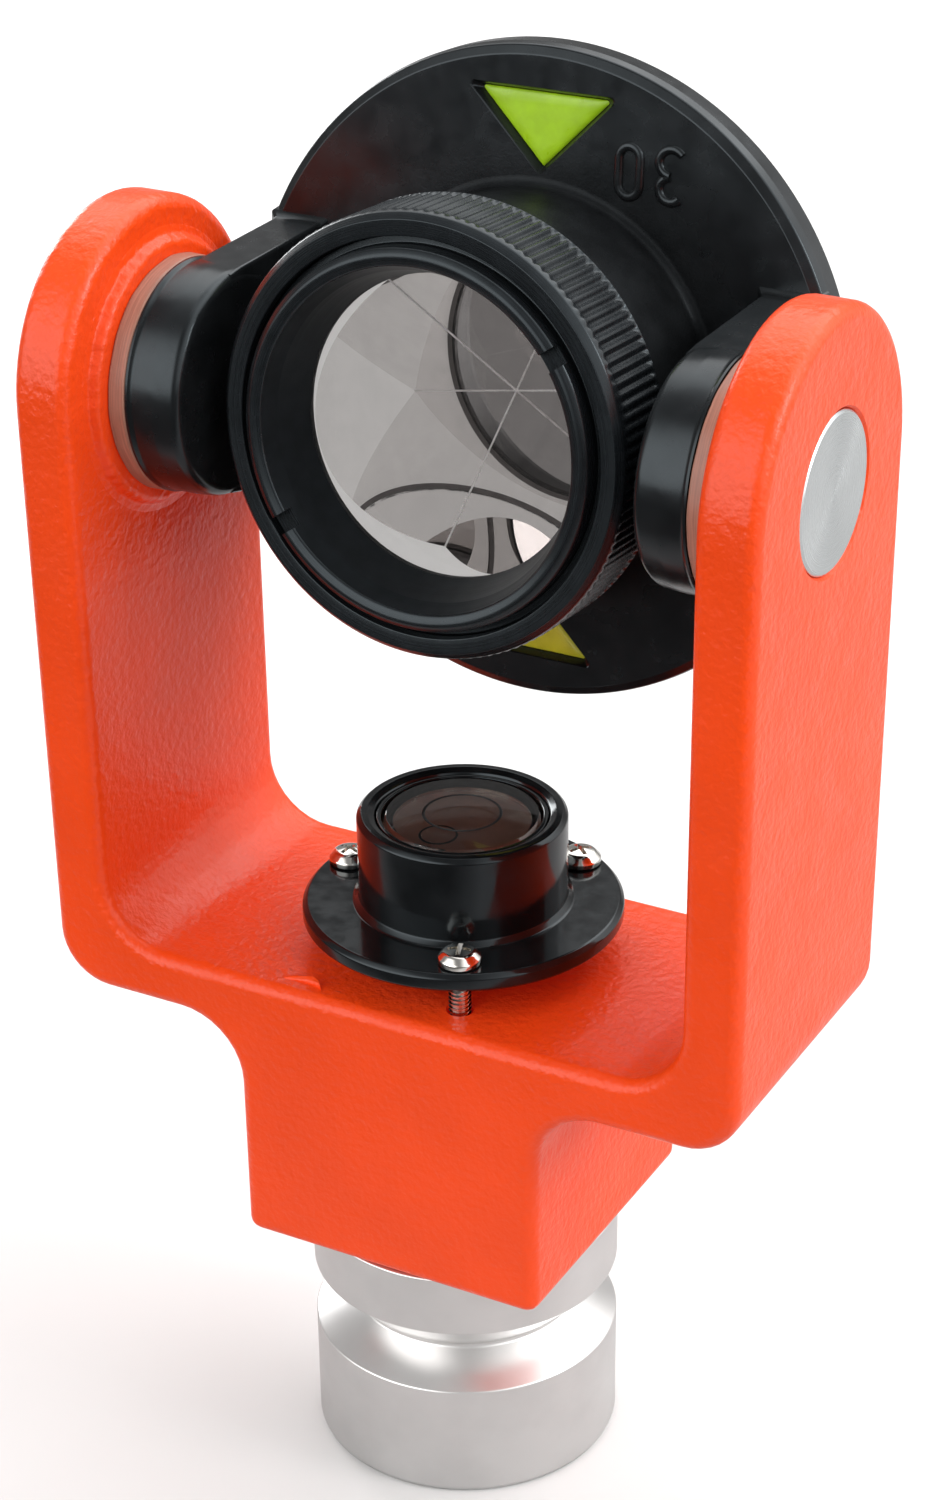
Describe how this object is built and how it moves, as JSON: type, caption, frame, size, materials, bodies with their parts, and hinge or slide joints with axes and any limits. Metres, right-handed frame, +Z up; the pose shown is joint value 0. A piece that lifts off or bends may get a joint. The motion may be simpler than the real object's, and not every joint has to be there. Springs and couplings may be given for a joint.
{
  "type": "tilting survey prism",
  "caption": "Corner-cube survey prism in a screwed canister on a round target, tilting in a U-shaped yoke with a grooved spigot and an adjustable circular vial.",
  "frame": {"origin": "centre of the spigot's bottom face, on the vertical axis", "axes": "+Z up along the spigot, -Y is where the prism looks, tilt axis parallel to X"},
  "size_m": [0.0672, 0.0377, 0.1271],
  "materials": {
    "powder_coat": "orange-peel powder coat",
    "satin_aluminium": "fine turned",
    "turned_aluminium": "face turned",
    "black_steel": "black oxide",
    "bronze": "sintered",
    "spring_steel": "plain",
    "nickel": "nickel plate",
    "tan_fibre": "pressed fibre",
    "gloss_black": "gloss paint",
    "black_anodised": "anodised",
    "black_rubber": "matt",
    "fluorescent": "fluorescent paint",
    "prism_glass": "polished",
    "vial_glass": "polished",
    "vial_fluid": "clear liquid",
    "bubble": "vapour"
  },
  "bodies": {
    "yoke": {"yoke": "powder_coat", "spigot": "satin_aluminium", "spigot_bolt": "black_steel", "pivot_bush_left": "bronze", "pivot_bush_right": "bronze", "pivot_cap_left": "turned_aluminium", "pivot_cap_right": "turned_aluminium", "spring_washer_left": "spring_steel", "spring_washer_right": "spring_steel", "friction_washer_left": "tan_fibre", "friction_washer_right": "tan_fibre"},
    "target": {"target_holder": "gloss_black", "pivot_screw_left": "spring_steel", "pivot_screw_right": "spring_steel", "inlay_upper": "fluorescent", "inlay_lower": "fluorescent"},
    "seal": {"canister_seal": "black_rubber"},
    "canister": {"canister_barrel": "black_anodised", "retaining_ring": "black_anodised", "front_gasket": "black_rubber", "prism_glass": "prism_glass", "prism_cushion": "black_rubber", "rear_cover": "black_anodised", "cover_o_ring": "black_rubber"},
    "vial_carrier": {"vial_cushion": "black_rubber"},
    "vial": {"vial_housing": "gloss_black", "vial_bezel": "spring_steel", "vial_glass": "vial_glass", "vial_fluid": "vial_fluid"},
    "bubble": {"vial_bubble": "bubble"},
    "screw_front": {"vial_screw_front": "nickel"},
    "screw_rear_right": {"vial_screw_rear_right": "nickel"},
    "screw_rear_left": {"vial_screw_rear_left": "nickel"}
  },
  "joints": [
    {"name": "target_tilt", "type": "hinge", "parent": "yoke", "child": "target", "pos_m": [0, 0, 0.1002], "axis": [1, 0, 0], "continuous": true},
    {"name": "canister_advance", "type": "slide", "parent": "target", "child": "seal", "axis": [0, -0.9971, 0.0767], "range_m": [0, 0.001]},
    {"name": "canister_turn", "type": "hinge", "parent": "seal", "child": "canister", "pos_m": [0, 0, 0.1002], "axis": [0, -0.9971, 0.0767], "range_deg": [0, 360]},
    {"name": "vial_pitch", "type": "hinge", "parent": "yoke", "child": "vial_carrier", "pos_m": [-0.00272, 0.00585, 0.0551], "axis": [0.891, 0.454, 0], "range_deg": [-1.2, 1.2], "deforming": ["vial_cushion"]},
    {"name": "vial_roll", "type": "hinge", "parent": "vial_carrier", "child": "vial", "pos_m": [0, 0.0005, 0.0551], "axis": [0.454, -0.891, 0], "range_deg": [-1.2, 1.2]},
    {"name": "screw_front_travel", "type": "slide", "parent": "yoke", "child": "screw_front", "axis": [0, 0, 1], "range_m": [-0.0004, 0.0004]},
    {"name": "screw_rear_right_travel", "type": "slide", "parent": "yoke", "child": "screw_rear_right", "axis": [0, 0, 1], "range_m": [-0.0003, 0.0003]},
    {"name": "screw_rear_left_travel", "type": "slide", "parent": "yoke", "child": "screw_rear_left", "axis": [0, 0, 1], "range_m": [-0.0003, 0.0003]},
    {"name": "bubble_drift", "type": "slide", "parent": "vial", "child": "bubble", "axis": [0.1392, 0.9903, 0], "range_m": [0, 0.0035], "deforming": ["vial_fluid"]}
  ],
  "couplings": [
    {"joint": "canister_advance", "follows": "canister_turn", "m_per_rad": 0.00015915},
    {"joint": "screw_front_travel", "follows": "vial_pitch", "m_per_rad": -0.018},
    {"joint": "screw_rear_right_travel", "follows": "vial_roll", "m_per_rad": 0.010392},
    {"joint": "screw_rear_left_travel", "follows": "vial_roll", "m_per_rad": -0.010392}
  ]
}
